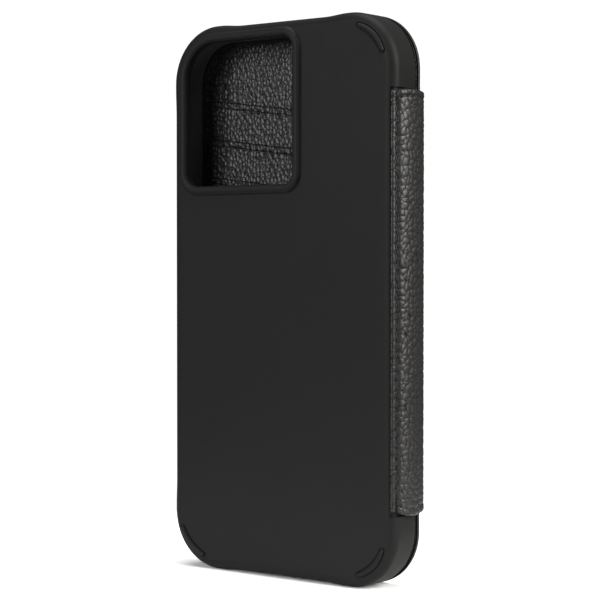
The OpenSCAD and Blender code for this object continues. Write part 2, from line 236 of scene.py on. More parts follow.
def cam_cutter(grow, y0, y1):
    """The camera opening as a solid."""
    edge, outs = cam_path()
    return loft([at_y(edge + grow * outs, y) for y in (y0, y1)])


def stadium(length, height, n=12):
    """The outline of a slot with round ends."""
    r, half = height / 2, (length - height) / 2
    turn = [math.pi * (i / n - 0.5) for i in range(n + 1)]
    end = [(half + r * math.cos(a), r * math.sin(a)) for a in turn]
    return end + [(-x, -y) for x, y in end]


def slot_solid(axis, levels, length, height, middle):
    """A stadium prism along X or Z at the phone's mid-thickness: levels are (position, growth)."""
    rings = []
    for pos, grow in levels:
        pts = stadium(length + 2 * grow, height + 2 * grow)
        if axis == "x":
            rings.append(np.array([(pos, MID_Y + b, middle + a) for a, b in pts]))
        else:
            rings.append(np.array([(middle + a, MID_Y + b, pos) for a, b in pts]))
    return loft(rings)


# ---------------------------------------------------------------- grain
GRAIN_SALT, FINE_SALT, WRINKLE_SALT = 3, 33, 8
DOME_EDGE, FINE_EDGE = 0.75, 0.6  # how far a pebble's slope runs in from its edge, in cells
SEAM, FINE_SEAM = 0.17, 0.1


def bell(distance, width):
    return np.exp(-(distance / width) ** 2)


def edge_drop(distance, radius):
    """How far a rounded edge has dropped: 1 at the edge, 0 from radius on."""
    t = np.clip(1 - distance / radius, 0, 1)
    return 1 - np.sqrt(1 - t * t)


def scatter(ix, iy, salt):
    """A fixed 0..1 value for each cell of a lattice."""
    h = (ix.astype(np.int64) * 374761393 + iy.astype(np.int64) * 668265263 + salt * 1274126177) & 0xFFFFFFFF
    h = ((h ^ (h >> 13)) * 1274126177) & 0xFFFFFFFF
    return ((h ^ (h >> 16)) & 0xFFFFFF) / float(0x1000000)


def value_noise(u, v, size, salt):
    """Smooth 0..1 noise over a lattice of the given size."""
    gu, gv = u / size, v / size
    iu, iv = np.floor(gu), np.floor(gv)
    fu, fv = gu - iu, gv - iv
    fu, fv = fu * fu * (3 - 2 * fu), fv * fv * (3 - 2 * fv)
    a, b = scatter(iu, iv, salt), scatter(iu + 1, iv, salt)
    c, d = scatter(iu, iv + 1, salt), scatter(iu + 1, iv + 1, salt)
    return (a * (1 - fu) + b * fu) * (1 - fv) + (c * (1 - fu) + d * fu) * fv


def cells(u, v, size, salt):
    """For warped, irregular cells: distances from the cell's edge and its middle, and its own value."""
    u = u + 0.8 * size * (value_noise(u, v, size * 1.3, salt + 11) - 0.5)
    v = v + 0.8 * size * (value_noise(u, v, size * 1.3, salt + 12) - 0.5)
    gu, gv = u / (size * 1.08), v / (size * 0.98)
    iu, iv = np.floor(gu), np.floor(gv)
    first, second, tone = np.full(u.shape, 9.0), np.full(u.shape, 9.0), np.zeros(u.shape)
    for du in range(-2, 3):
        for dv in range(-2, 3):
            cu, cv = iu + du, iv + dv
            d = np.hypot(cu + 0.06 + 0.88 * scatter(cu, cv, salt) - gu,
                         cv + 0.06 + 0.88 * scatter(cu, cv, salt + 1) - gv)
            near = d < first
            second = np.where(near, first, np.minimum(second, d))
            tone = np.where(near, scatter(cu, cv, salt + 2), tone)
            first = np.where(near, d, first)
    return second - first, first, tone


def pebbles(u, v):
    """Pebbled grain: height about 0..1, domes over finer cells, and the lit share, 1 on a dome and 0 in a
    seam, where the leathers paint shade into the colour.
    """
    edge, middle, tone = cells(u, v, GRAIN, GRAIN_SALT)
    small, _, small_tone = cells(u, v, FINE_GRAIN, FINE_SALT)
    t = np.clip(edge / DOME_EDGE, 0, 1)
    dome = np.sqrt(t * (2 - t)) * 0.7 + 0.3 * np.clip(1 - middle * middle * 1.8, 0, 1)
    t = np.clip(small / FINE_EDGE, 0, 1)
    fine = np.sqrt(t * (2 - t)) * (0.6 + 0.4 * small_tone)
    wrinkle = value_noise(u, v, GRAIN * 0.2, WRINKLE_SALT) - 0.5
    height = dome * (0.72 + 0.16 * tone) + 0.1 * fine * (0.3 + 0.7 * dome) + 0.04 * wrinkle
    t = np.clip(edge / SEAM, 0, 1)
    lit_share = (0.08 + 0.92 * t * t * (3 - 2 * t)) * (0.72 + 0.28 * np.clip(small / FINE_SEAM, 0, 1))
    return height, lit_share


# ---------------------------------------------------------------- nodes
MIX_A, MIX_B, MIX_RESULT = 6, 7, 2  # a Mix node's colour sockets, which share their names with others


def material(name):
    """A new material, its node tree and its main shader."""
    m = bpy.data.materials.new(name)
    m.use_nodes = True
    tree = m.node_tree
    return m, tree, next(n for n in tree.nodes if n.type == "BSDF_PRINCIPLED")


def put(tree, value, socket):
    """Links a socket into another, or sets it to a number or colour."""
    if isinstance(value, bpy.types.NodeSocket):
        tree.links.new(value, socket)
    else:
        socket.default_value = value


def dress(tree, node, looks):
    """Puts a number, colour or socket into each of a node's named sockets."""
    for key, value in looks.items():
        put(tree, value, node.inputs[key])


def grey(v, warm=0.0):
    return (v * (1 + warm), v, v * (1 - warm), 1)


def math_node(tree, op, a, b):
    """The result of one operation on two numbers or sockets."""
    n = tree.nodes.new("ShaderNodeMath")
    n.operation = op
    put(tree, a, n.inputs[0])
    put(tree, b, n.inputs[1])
    return n.outputs[0]


def vector_node(tree, op, a, b):
    """The same for vectors. SCALE takes a vector and a number."""
    n = tree.nodes.new("ShaderNodeVectorMath")
    n.operation = op
    put(tree, a, n.inputs[0])
    put(tree, b, n.inputs["Scale"] if op == "SCALE" else n.inputs[1])
    return n.outputs[0]


def ramp(tree, source, low, high, a, b):
    """Maps source from low..high onto a..b, smoothly."""
    n = tree.nodes.new("ShaderNodeMapRange")
    n.interpolation_type = "SMOOTHSTEP"
    dress(tree, n, {"Value": source, "From Min": low, "From Max": high, "To Min": a, "To Max": b})
    return n.outputs["Result"]


def mixed(tree, factor, a, b):
    """A colour between a and b."""
    n = tree.nodes.new("ShaderNodeMix")
    n.data_type = "RGBA"
    put(tree, factor, n.inputs["Factor"])
    put(tree, a, n.inputs[MIX_A])
    put(tree, b, n.inputs[MIX_B])
    return n.outputs[MIX_RESULT]


def noise(tree, coords, scale, detail=3.0, rough=0.5):
    n = tree.nodes.new("ShaderNodeTexNoise")
    dress(tree, n, {"Vector": coords, "Scale": scale, "Detail": detail, "Roughness": rough})
    return n.outputs["Fac"]


def object_mm(tree):
    """Object coordinates in millimetres."""
    return vector_node(tree, "SCALE", tree.nodes.new("ShaderNodeTexCoord").outputs["Object"], 1000)


def grain_mm(tree):
    """The grain layer's coordinates in millimetres."""
    n = tree.nodes.new("ShaderNodeUVMap")
    n.uv_map = "grain"
    return vector_node(tree, "SCALE", n.outputs["UV"], 100)


def lit_share_value(tree):
    """The lit share that make() stores on a mesh: 1 where the colour is left alone, lower where shade is
    painted into it.
    """
    n = tree.nodes.new("ShaderNodeAttribute")
    n.attribute_name = "lit_share"
    return n.outputs["Fac"]


def bump(tree, height, depth_mm, normal=None):
    n = tree.nodes.new("ShaderNodeBump")
    dress(tree, n, {"Strength": 1.0, "Distance": depth_mm * 0.001, "Height": height})
    if normal is not None:
        put(tree, normal, n.inputs["Normal"])
    return n.outputs["Normal"]


# ---------------------------------------------------------------- materials
# A tone is a base colour's brightness. Noise scales are per millimetre, and bump depths are millimetres.
# The second warmth is that of the shade painted into the leathers' seams.
WARM, SEAM_SHADE_WARM = 0.02, 0.03  # the leathers' slight warmth


def moulded(name, tone, rough, grain, spec):
    """Soft-touch moulding: a very fine moulded grain, faint flow marks and handling sheen."""
    m, tree, shader = material(name)
    mm = object_mm(tree)
    patch, fine = noise(tree, mm, 0.35, 4.0, 0.6), noise(tree, mm, 7.0, 2.0, 0.6)
    handled = ramp(tree, patch, 0.3, 0.75, rough - 0.02, rough + 0.02)
    dress(tree, shader, {
        "Base Color": mixed(tree, noise(tree, mm, 0.05), grey(tone * 0.93), grey(tone * 1.07)),
        "Roughness": math_node(tree, "ADD", handled, ramp(tree, fine, 0.3, 0.7, -0.03, 0.03)),
        "Specular IOR Level": spec,
        "Normal": bump(tree, fine, grain),
    })
    return m


def pebbled_leather(name, tone, rough, spec):
    """Leather whose pebbles are real geometry: painted shade darkens its colour where the mesh's lit share
    is low, in seams, holes, grooves and gaps, which are also duller; its faces are finely wrinkled.
    """
    m, tree, shader = material(name)
    mm, lit_share = grain_mm(tree), lit_share_value(tree)
    fine = noise(tree, mm, 2.6, 5.0, 0.62)
    face = mixed(tree, noise(tree, mm, 0.12), grey(tone * 0.86, WARM), grey(tone * 1.1, WARM))
    dull = ramp(tree, lit_share, 0.0, 1.0, 0.3, 0.0)
    shader.inputs["Specular IOR Level"].default_value = spec
    dress(tree, shader, {
        "Base Color": mixed(tree, lit_share, grey(tone * 0.45, SEAM_SHADE_WARM), face),
        "Roughness": math_node(tree, "ADD", dull, ramp(tree, fine, 0.3, 0.7, rough - 0.06, rough + 0.06)),
        "Specular IOR Level": ramp(tree, lit_share, 0.0, 1.0, 0.08, spec),
        "Normal": bump(tree, fine, 0.06),
    })
    return m


def fine_leather(name, tone, rough, spec, cell, depth):
    """Finer leather: tall pebbles of about one cell's width, from warped coordinates, with shade painted
    into the seams between them and where the mesh's lit share is low.
    """
    m, tree, shader = material(name)
    mm = grain_mm(tree)
    warp = tree.nodes.new("ShaderNodeTexNoise")
    dress(tree, warp, {"Scale": 0.7 / cell, "Vector": mm})
    push = vector_node(tree, "SCALE", warp.outputs["Color"], cell * 0.9)
    moved = vector_node(tree, "ADD", vector_node(tree, "MULTIPLY", mm, (1.12, 0.84, 1.0)), push)

    def voronoi(feature, **more):
        n = tree.nodes.new("ShaderNodeTexVoronoi")
        n.feature = feature
        dress(tree, n, {"Vector": moved, "Scale": 1.0 / cell, "Randomness": 0.85, **more})
        return n.outputs["Distance"]

    dome = ramp(tree, voronoi("SMOOTH_F1", Smoothness=0.12), 0.0, 0.72, 1.0, 0.0)
    # painted shade in the seams: the colour darkens towards each cell's edge, and again where the mesh asks
    # for it
    clear = ramp(tree, voronoi("DISTANCE_TO_EDGE"), 0.0, 0.16, 0.0, 1.0)
    lit_face = math_node(tree, "MULTIPLY", clear, lit_share_value(tree))
    fine = noise(tree, mm, 3.2, 4.0, 0.6)
    face = mixed(tree, noise(tree, mm, 0.1), grey(tone * 0.88, WARM), grey(tone * 1.1, WARM))
    shader.inputs["Specular IOR Level"].default_value = spec
    dress(tree, shader, {
        "Base Color": mixed(tree, lit_face, grey(tone * 0.25, SEAM_SHADE_WARM), face),
        "Roughness": ramp(tree, fine, 0.3, 0.7, rough - 0.06, rough + 0.06),
        "Specular IOR Level": ramp(tree, lit_face, 0.0, 1.0, 0.1, spec),
        "Normal": bump(tree, fine, depth * 0.1, bump(tree, dome, depth)),
    })
    return m


def twisted_thread(name, tone):
    """Waxed thread with its twist."""
    m, tree, shader = material(name)
    twist = tree.nodes.new("ShaderNodeTexWave")
    twist.bands_direction = "DIAGONAL"
    dress(tree, twist, {"Scale": 1.4, "Distortion": 1.0, "Vector": object_mm(tree)})
    dress(tree, shader, {
        "Base Color": mixed(tree, twist.outputs["Fac"], grey(tone * 0.7), grey(tone * 1.3)),
        "Roughness": 0.6,
        "Normal": bump(tree, twist.outputs["Fac"], 0.06),
    })
    return m


def grained(name, grit, low, high, rough, depth, patches=None, looks=()):
    """A surface whose roughness and height follow a fine noise, and its colour that or patches."""
    m, tree, shader = material(name)
    mm = object_mm(tree)
    fine = noise(tree, mm, *grit)
    dress(tree, shader, {
        "Base Color": mixed(tree, noise(tree, mm, *patches) if patches else fine, low, high),
        "Roughness": ramp(tree, fine, 0.3, 0.7, *rough),
        "Normal": bump(tree, fine, depth),
        **dict(looks),
    })
    return m


SHELL = moulded("soft_touch_shell", 0.008, 0.5, 0.012, 0.075)
LINER = moulded("liner_elastomer", 0.026, 0.6, 0.02, 0.2)
BUTTON = moulded("button_elastomer", 0.0048, 0.48, 0.015, 0.16)
SPINE_LEATHER = pebbled_leather("pebbled_leather", 0.0055, 0.42, 0.4)
INNER_LEATHER = fine_leather("inner_leather", 0.0072, 0.42, 0.38, 1.25, 0.14)
THREAD = twisted_thread("waxed_thread", 0.003)
PILE = grained("microfibre_pile", (6.0, 3.0, 0.7), grey(0.0068), grey(0.0092), (0.82, 0.95), 0.12,
               patches=(0.12, 4.0), looks={"Sheen Weight": 0.1})
METAL = grained("plated_metal", (3.0, 3.0), grey(0.495), grey(0.5775), (0.3, 0.45), 0.01,
                looks={"Metallic": 1.0})
BOARD = grained("fibreboard", (2.0, 5.0, 0.7), (0.26, 0.20, 0.15, 1), (0.34, 0.28, 0.21, 1), (0.8, 0.92),
                0.05)
for node, mat in (("closure_keepers", METAL), ("closure_magnets", METAL), ("spine_board", BOARD),
                  ("cover_board", BOARD)):
    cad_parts[node].data.materials.clear()
    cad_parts[node].data.materials.append(mat)


# ---------------------------------------------------------------- tray
SEAT_DEEP = 0.5  # how much thinner the tray is under the spine
SEAT_X = TRAY_W - SEAT_DEEP
SEAT_FROM = 29  # degrees round the back's edge where the spine's seat begins
SEAT_GAP = 1.1  # past each end of the spine
SHELL_CUT, LINER_CUT, LINER_SIDE_CUT = 5, 6, 5  # how deep the openings are cut
FLARE = [(0.0, 0.35), (0.12, 0.12), (0.35, 0.0)]  # (depth, growth) at the mouth of a cut
# each port's middle, then its (length, height) through the shell and through the liner
PORTS = [(0, (13, 6.2), (12.6, 5.8)), (-PORT_X, (13, 3), (12.6, 2.7)), (PORT_X, (13, 3), (12.6, 2.7))]
# each side opening's middle and side, the same two sizes, and its depth into the shell
SIDES = [(MUTE_Z, 1, (11, 5), (10.6, 4.6), SHELL_CUT), (UP_Z, 1, (11.6, 4), (10.6, 3), 3),
         (DOWN_Z, 1, (11.6, 4), (10.6, 3), 3), (SIDE_Z, -1, (17.6, 4), (16.6, 3), 3)]


def side_cut(z, length, height, sign, depth):
    """A flared slot through a side wall: sign is 1 on the spine's side and -1 on the free side."""
    face = SEAT_X if sign > 0 else TRAY_W
    levels = [(-0.5, 0.5)] + FLARE + [(depth, 0.0)]
    return slot_solid("x", [(sign * (face - d), g) for d, g in levels], length, height, z)


def end_cut(x, length, height, depth):
    """A flared slot through the lower end."""
    levels = [(-0.5, 0.5)] + FLARE + [(depth, 0.0)]
    return slot_solid("z", [(d - TRAY_H, g) for d, g in levels], length, height, x)


def on_edge(radius, degrees):
    """A point about the centre of the rounding between the back and the side."""
    a = math.radians(degrees)
    return TRAY_W - BACK_ROUND + radius * math.sin(a), BACK_ROUND - radius * math.cos(a)


# the shell's section: the back's flat, its rounded edge, the side, the lip and the inside of the wall
rings = [tray_ring(BACK_ROUND + 0.8, 0.0)]
rings += [tray_ring(BACK_ROUND * (1 - math.sin(a)), BACK_ROUND * (1 - math.cos(a)))
          for a in quarter_turn(10)]
rings += [tray_ring(0, BACK_ROUND + 0.3), tray_ring(0, TRAY_T - LIP_ROUND - 0.25)]
rings += [tray_ring(LIP_ROUND * (1 - math.cos(a)), TRAY_T - LIP_ROUND * (1 - math.sin(a)))
          for a in quarter_turn(6)]
rings += [phone_ring(g - LIP_OVER, y) for g, y in
          ((0.9, TRAY_T), (0.3, TRAY_T), (0.09, TRAY_T - 0.09), (0, 9.9), (0, 9.5), (0.1, GLASS_Y))]
rings += [at_y(rounded(TRAY_W, TRAY_H, TRAY_R, WALL_T), y) for y in (GLASS_Y, PLATE_T)]
shell = make("tray_shell", *loft(rings), SHELL, "tray", "shell_polymer", ["outer_shell"], 30)

cuts = [cam_cutter(0.15, -3, 3)]
cuts += [end_cut(x, *size, SHELL_CUT) for x, size, _ in PORTS]
cuts += [side_cut(z, *size, sign, depth) for z, sign, size, _, depth in SIDES]
cut(shell, cuts, 30)

# the seat of the spine, cut out of the tray's back edge and side
section = [on_edge(BACK_ROUND - SEAT_DEEP, a) for a in np.linspace(SEAT_FROM, 90, 14)]
section += [(SEAT_X, TRAY_T + 1), (TRAY_W + 3, TRAY_T + 1), (TRAY_W + 3, -1.0)]
section += [on_edge(BACK_ROUND + 1.4, SEAT_FROM)]
seat_ends = (-SPINE_H / 2 - SEAT_GAP, SPINE_H / 2 + SEAT_GAP - 0.6)
cut(shell, [loft([np.array([(x, y, z) for x, y in section]) for z in seat_ends])], 30)

# the rim round the camera opening: one rounded bead, down through the plate, as (outwards, y)
INNER_ROUND, OUTER_ROUND, OUTER_DROP, RIM_SIDE = 0.85, 0.95, 0.75, 0.45
profile = [(0.0, PLATE_T), (0.0, 0.4), (0.0, -RIM_SIDE)]
profile += [(INNER_ROUND * (1 - math.cos(a)), -RIM_SIDE - (RIM_T - RIM_SIDE) * math.sin(a))
            for a in quarter_turn(7)[1:]]
profile += [(RIM_W - OUTER_ROUND * (1 - math.sin(a)), -RIM_T + OUTER_DROP * (1 - math.cos(a)))
            for a in quarter_turn(7)]
profile += [(RIM_W, -0.3), (RIM_W + 0.05, -0.1), (RIM_W + 0.2, 0.02), (RIM_W + 0.2, 0.6)]
profile += [(1.0, 1.0), (1.0, PLATE_T)]
edge, outs = cam_path()
rim_rings = [at_y(edge + r * outs, y) for r, y in profile]
make("camera_rim", *loft(rim_rings, True), SHELL, "tray", "shell_polymer", smooth=40)


# ---------------------------------------------------------------- guard ribs, each in a shallow channel
CORNERS = ((1, 1), (1, -1), (-1, -1))  # all but the camera's
RIB_HALF, RIB_HIGH, RIB_BASE = 0.8, 0.62, 0.4
CHANNEL_HALF, CHANNEL_DEEP = 1.2, 0.32
HALF_CIRCLE = [math.pi * k / 12 for k in range(13)]


def arc_solid(sx, sz, a0, a1, half, ring_at):
    """A solid along an arc about a corner's centre, from a0 to a1 degrees, with rounded ends.

    ring_at(taper, bow) gives (sideways, y) points. taper falls to 0 at the ends. bow is 1 in the middle."""
    length = math.radians(a1 - a0) * RIB_MID
    rows = []
    for i in range(RIB_STEPS + 1):
        t = 0.5 - 0.5 * math.cos(math.pi * i / RIB_STEPS)
        taper = math.sqrt(max(0.0, 1 - max(0.0, 1 - min(t, 1 - t) * length / half) ** 2))
        a = math.radians(a0 + (a1 - a0) * t)
        rows.append(np.array([(sx * (TRAY_W - TRAY_R + (RIB_MID + w) * math.cos(a)), y,
                               sz * (TRAY_H - TRAY_R + (RIB_MID + w) * math.sin(a)))
                              for w, y in ring_at(taper, math.sin(math.pi * t))]))
    return loft(rows)


def rib_ring(taper, bow):
    """A bead's section: from its base, below the back's face, over its crest."""
    width = RIB_HALF * taper * (0.68 + 0.32 * bow) + 0.004
    rise = (RIB_HIGH + RIB_BASE) * taper + 0.002
    return [(width * math.cos(b), RIB_BASE - rise * math.sin(b) ** 0.7) for b in HALF_CIRCLE]


def channel_ring(taper, bow):
    """A round-bottomed trough's section, open to the back."""
    width = CHANNEL_HALF * taper * (0.72 + 0.28 * bow) + 0.01
    trough = [(width * math.cos(b), CHANNEL_DEEP * taper * math.sin(b) ** 0.6 + 0.005) for b in HALF_CIRCLE]
    return trough + [(width * math.cos(b), -1.0) for b in (math.pi * 1.01, math.pi * 1.99)]


cut(shell, [arc_solid(sx, sz, 18.0, 76.5, CHANNEL_HALF, channel_ring) for sx, sz in CORNERS], 30)
ribs = [arc_solid(sx, sz, 20.0, 74.5, RIB_HALF, rib_ring) for sx, sz in CORNERS]
make("corner_ribs", *merge(ribs), SHELL, "tray", "shell_polymer", smooth=50)


# ---------------------------------------------------------------- liner, microfibre and buttons
GRIP = 0.15  # between the phone and the liner
rings = [at_y(rounded(TRAY_W, TRAY_H, TRAY_R, WALL_T + 0.02), y) for y in (PLATE_T + 0.01, GLASS_Y - 0.01)]
rings += [phone_ring(GRIP + g, y) for g, y in
          ((0.3, GLASS_Y - 0.01), (0.09, GLASS_Y - 0.08), (0, GLASS_Y - 0.3), (0, 5.5),
           (0, PLATE_T + 0.01))]
liner = make("phone_liner", *loft(rings, True), LINER, "tray", "liner_rubber", ["shock_liner"], 30)
cuts = [end_cut(x, *size, LINER_CUT) for x, _, size in PORTS]
cuts += [side_cut(z, *size, sign, LINER_SIDE_CUT) for z, sign, _, size, _ in SIDES]
cut(liner, cuts, 30)

rings = [phone_ring(-inset, y) for inset, y in
         ((1.4, PLATE_T), (1.4, 1.62), (1.45, 1.74), (1.6, SEAT_Y), (2.2, SEAT_Y))]
back_nap = make("back_microfibre", *loft(rings), PILE, "tray", "microfibre", ["back_lining"], 40)
cut(back_nap, [cam_cutter(0.6, 0, 4)], 40)


def pill(name, node, z, length, face, sign):
    """A button: a rounded cap, out to face, with a flange behind the wall. Its node names its body too."""
    inner, cap = TRAY_W - WALL_T - 1.4, 0.55
    levels = [(inner, -0.7), (inner + 0.5, -0.7), (inner + 0.5, 0.6), (inner + 1.1, 0.6)]
    levels += [(inner + 1.1, 0.0), (face - cap, 0.0)]
    levels += [(face - cap * (1 - math.sin(a)), -cap * (1 - math.cos(a))) for a in quarter_turn(6)[1:]]
    levels += [(face + 0.04, -1.2)]
    solid = slot_solid("x", [(sign * x, grow) for x, grow in levels], length, BUTTON_H, z)
    make(name, *solid, BUTTON, node, "button_rubber", [node], 40)


pill("side_button_cap", "side_button", SIDE_Z, SIDE_L, TRAY_W + 0.41, -1)
pill("volume_up_cap", "volume_up_button", UP_Z, VOLUME_L, SEAT_X + 0.11, 1)
pill("volume_down_cap", "volume_down_button", DOWN_Z, VOLUME_L, SEAT_X + 0.11, 1)


# ---------------------------------------------------------------- stitches
def stitch(centre, along, out, length, radius):
    """One thread: a short bowed capsule. along and out are unit vectors."""
    along, out = np.array(along, float), np.array(out, float)
    side = np.cross(along, out)
    rings = []
    for t in [-1 + i / 4 for i in range(9)]:
        r = radius * math.sqrt(max(0.0, 1 - max(0.0, (abs(t) - 0.8) / 0.2) ** 2) * 0.97 + 0.03)
        lift = 0.14 * (1 - t * t) - 0.1
        middle = np.array(centre) + along * t * length / 2 + out * lift
        rings.append(np.array([middle + r * (math.cos(b) * side + 0.8 * math.sin(b) * out)
                               for b in [math.pi * k / 4 for k in range(8)]]))
    return loft(rings)


def sew(name, threads, body, node):
    """A piece of many stitches."""
    make(name, *merge(threads), THREAD, body, "thread", [node], 60)


# ---------------------------------------------------------------- spine skin
# Its section as (x, y): from the flange on the tray's back edge, round the spine, onto the cover's face.
LINE = [(38.12, 0.13), (38.5, 0.40), (38.88, 0.76), (39.2, 1.22), (39.72, 1.72), (40.35, 2.5),
        (40.85, 4.0), (41.12, 6.0), (41.2, 7.5), (41.15, 9.4), (40.98, 11.0), (40.55, 12.2),
        (39.85, 13.05), (38.95, 13.55), (37.8, 13.78), (36.6, COVER_Y), (35.0, COVER_Y), (33.0, COVER_Y)]
FINE = 0.27  # the skin's mesh step
SKIN_ROWS = int(round(112 / FINE))
SKIN_T, FLANGE_T = 0.8, 0.45
SKIN_RELIEF, COVER_RELIEF, RELIEF_LEVEL = 0.22, 0.34, 0.88  # the level is the grain's height on the skin
GROOVE_DEEP = 0.34  # the crease beside the flange
ROW_IN, ROW_DEEP, ROW_SUNK = 1.95, 0.14, 0.16  # the end rows: in from the ends, their groove and threads
SKIN_ROUND, SKIN_DROP = 0.45, 0.34  # the rounding of its free edges
SKIN_TUCK = 2.2  # the last strip of the skin, which dips into the cover's grain


def spline(points, step):
    """Catmull-Rom through points, resampled at an even step. Returns points, tangents and arc lengths."""
    p = np.array(points, float)
    p = np.vstack([2 * p[0] - p[1], p, 2 * p[-1] - p[-2]])
    out = []
    for a, b, c, d in zip(p, p[1:], p[2:], p[3:]):
        for t in np.linspace(0, 1, 40, endpoint=False):
            curve = (2 * a - 5 * b + 4 * c - d) * t ** 2 + (3 * b - a - 3 * c + d) * t ** 3
            out.append(0.5 * (2 * b + (c - a) * t + curve))
    out.append(p[-2])
    out = np.array(out)
    s = np.concatenate([[0], np.cumsum(np.hypot(*np.diff(out, axis=0).T))])
    at = np.linspace(0, s[-1], int(round(s[-1] / step)) + 1)
    pts = np.stack([np.interp(at, s, out[:, k]) for k in (0, 1)], 1)
    tan = np.gradient(pts, axis=0)
    tan /= np.hypot(*tan.T)[:, None]
    return pts, tan, at


skin_p, skin_t, skin_s = spline(LINE, FINE)
skin_n = np.stack([skin_t[:, 1], -skin_t[:, 0]], 1)


def s_at(x, y):
    """The skin's arc length nearest to a point of its section."""
    return float(skin_s[np.argmin(np.hypot(skin_p[:, 0] - x, skin_p[:, 1] - y))])


S_CREASE = s_at(39.3, 1.3)
S_FLANGE = s_at(39.5, 1.5)  # the flange's end
S_MID = s_at(41.19, 7.2)
S_BEND = s_at(40.3, 12.5)  # the far corner
S_END = skin_s[-1]


def cover_u(x):
    """The grain coordinate of a point on the cover's flat face, where the skin's own runs on."""
    return S_END + LINE[-1][0] - x


def spine_ends(s):
    """Lower and upper ends of the spine's skin: nearly square on the flange, crowned over the panel."""
    t = np.clip((s - S_CREASE) / (S_BEND - S_CREASE), 0, 1)
    crown = np.sin(math.pi * np.clip(t * 1.02, 0, 1)) ** 0.8
    settle = t * t * (3 - 2 * t)
    return SPINE_LOW - 1.15 * crown - 0.35 * settle, SPINE_TOP + 0.55 * crown + 0.15 * settle


def off_hole(along, pitch):
    """How far along its row a point is from the nearest hole."""
    return along - (np.round(along / pitch - 0.5) + 0.5) * pitch


def holes(along, pitch, across, length, width):
    """Needle holes at half pitches along a row: 1 in a hole's middle, 0 away from it."""
    return np.exp(-((across / width) ** 2 + (off_hole(along, pitch) / length) ** 2))


def skin(name, s0, s1, body=None, flange=False):
    """A closed strip of the spine's leather between two arc lengths, with its grain as real relief."""
    thick = FLANGE_T if flange else SKIN_T
    pick = (skin_s >= s0 - 1e-6) & (skin_s <= s1 + 1e-6)
    pts, nrm, s = skin_p[pick], skin_n[pick], skin_s[pick]
    low, top = spine_ends(s)
    v = np.linspace(0, 1, SKIN_ROWS + 1)[:, None]
    S = np.repeat(s[None, :], len(v), 0)
    Z = low + v * (top - low)
    off_crease = S - S_CREASE
    height, lit_share = pebbles(S, Z)
    # the crease beside the flange, with its stitches' holes
    near = bell(off_crease, 0.34)
    hole = holes(Z, STITCH_PITCH, off_crease, 0.3, 0.26)
    relief = SKIN_RELIEF * (height - RELIEF_LEVEL)
    relief *= (1 - 0.55 * near) * (0.55 + 0.45 * np.clip(off_crease / 0.8, 0, 1))
    relief -= GROOVE_DEEP * near + 0.16 * hole
    # the sewn row across each end
    end = np.minimum(Z - low, top - Z)
    row = bell(end - ROW_IN, 0.3) * np.clip((S - 0.9) / 0.5, 0, 1)
    row_hole = holes(off_crease, END_PITCH, end - ROW_IN, 0.28, 0.26)
    relief = relief * (1 - 0.4 * row) - ROW_DEEP * row - 0.22 * row_hole * (S < S_BEND + 1.5)
    relief += 0.12 * bell(end - 0.9, 0.55) * np.clip(off_crease, 0, 1)
    # rounded free edges, and the last strip
    relief -= SKIN_DROP * edge_drop(np.minimum(end, S - s0) if flange else end, SKIN_ROUND)
    relief -= 0.12 * np.clip((S - S_END) / SKIN_TUCK + 1, 0, 1) ** 2
    relief = np.maximum(relief, -thick * 0.8)
    # Painted shade: the colour darkens in the seams between pebbles, in the groove beside the flange, in
    # the needle holes and along the sewn end rows.
    shade = lit_share * (1 - 0.7 * near) * (1 - 0.8 * hole) * (1 - 0.5 * row) * (1 - 0.7 * row_hole)
    outer = np.stack([pts[:, 0] + relief * nrm[:, 0], pts[:, 1] + relief * nrm[:, 1], Z], -1)
    back = np.repeat((pts - thick * nrm)[None], len(v), 0)
    inner = np.concatenate([back, np.clip(Z, low + 0.15, top - 0.15)[..., None]], -1)
    grain = np.stack([S, Z], -1).reshape(-1, 2)
    tone = np.concatenate([np.clip(shade, 0, 1).ravel(), np.full(S.size, 0.75)])
    return make(name, *sheet(outer, inner), SPINE_LEATHER, body, smooth=60, grain=np.tile(grain, (2, 1)),
                lit_share=tone)


flange = skin("spine_flange_leather", 0, S_FLANGE, "tray", True)
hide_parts("spine_flange")
near_skin = skin("spine_leather_tray_side", S_FLANGE, S_MID)
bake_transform(near_skin)
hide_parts("spine_leather")
far_skin = skin("spine_leather_cover_side", S_MID, S_END)
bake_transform(far_skin)


def skin_stitch(s, z, sunk, length, radius, upright):
    """A thread in the skin at an arc length and height, upright or along the skin's section."""
    j = int(np.argmin(np.abs(skin_s - s)))
    out = np.array([*skin_n[j], 0])
    along = (0, 0, 1) if upright else (*skin_t[j], 0)
    return stitch(np.array([*skin_p[j], z]) - sunk * out, along, out, length, radius)


threads = [skin_stitch(S_CREASE, (i + 0.5) * STITCH_PITCH, GROOVE_DEEP, 1.9, 0.16, True)
           for i in range(-20, 20)]
sew("flange_threads", threads, "tray", "flange_stitching")

threads = []
for end, inwards in ((0, ROW_IN), (1, -ROW_IN)):
    for s in [S_CREASE + END_PITCH * k for k in range(1, 6)]:
        if s <= S_BEND - 3.0:  # short of the far corner
            threads.append(skin_stitch(s, spine_ends(s)[end] + inwards, ROW_SUNK, 1.7, 0.19, False))
sew("spine_threads", threads, "spine", "spine_stitching")

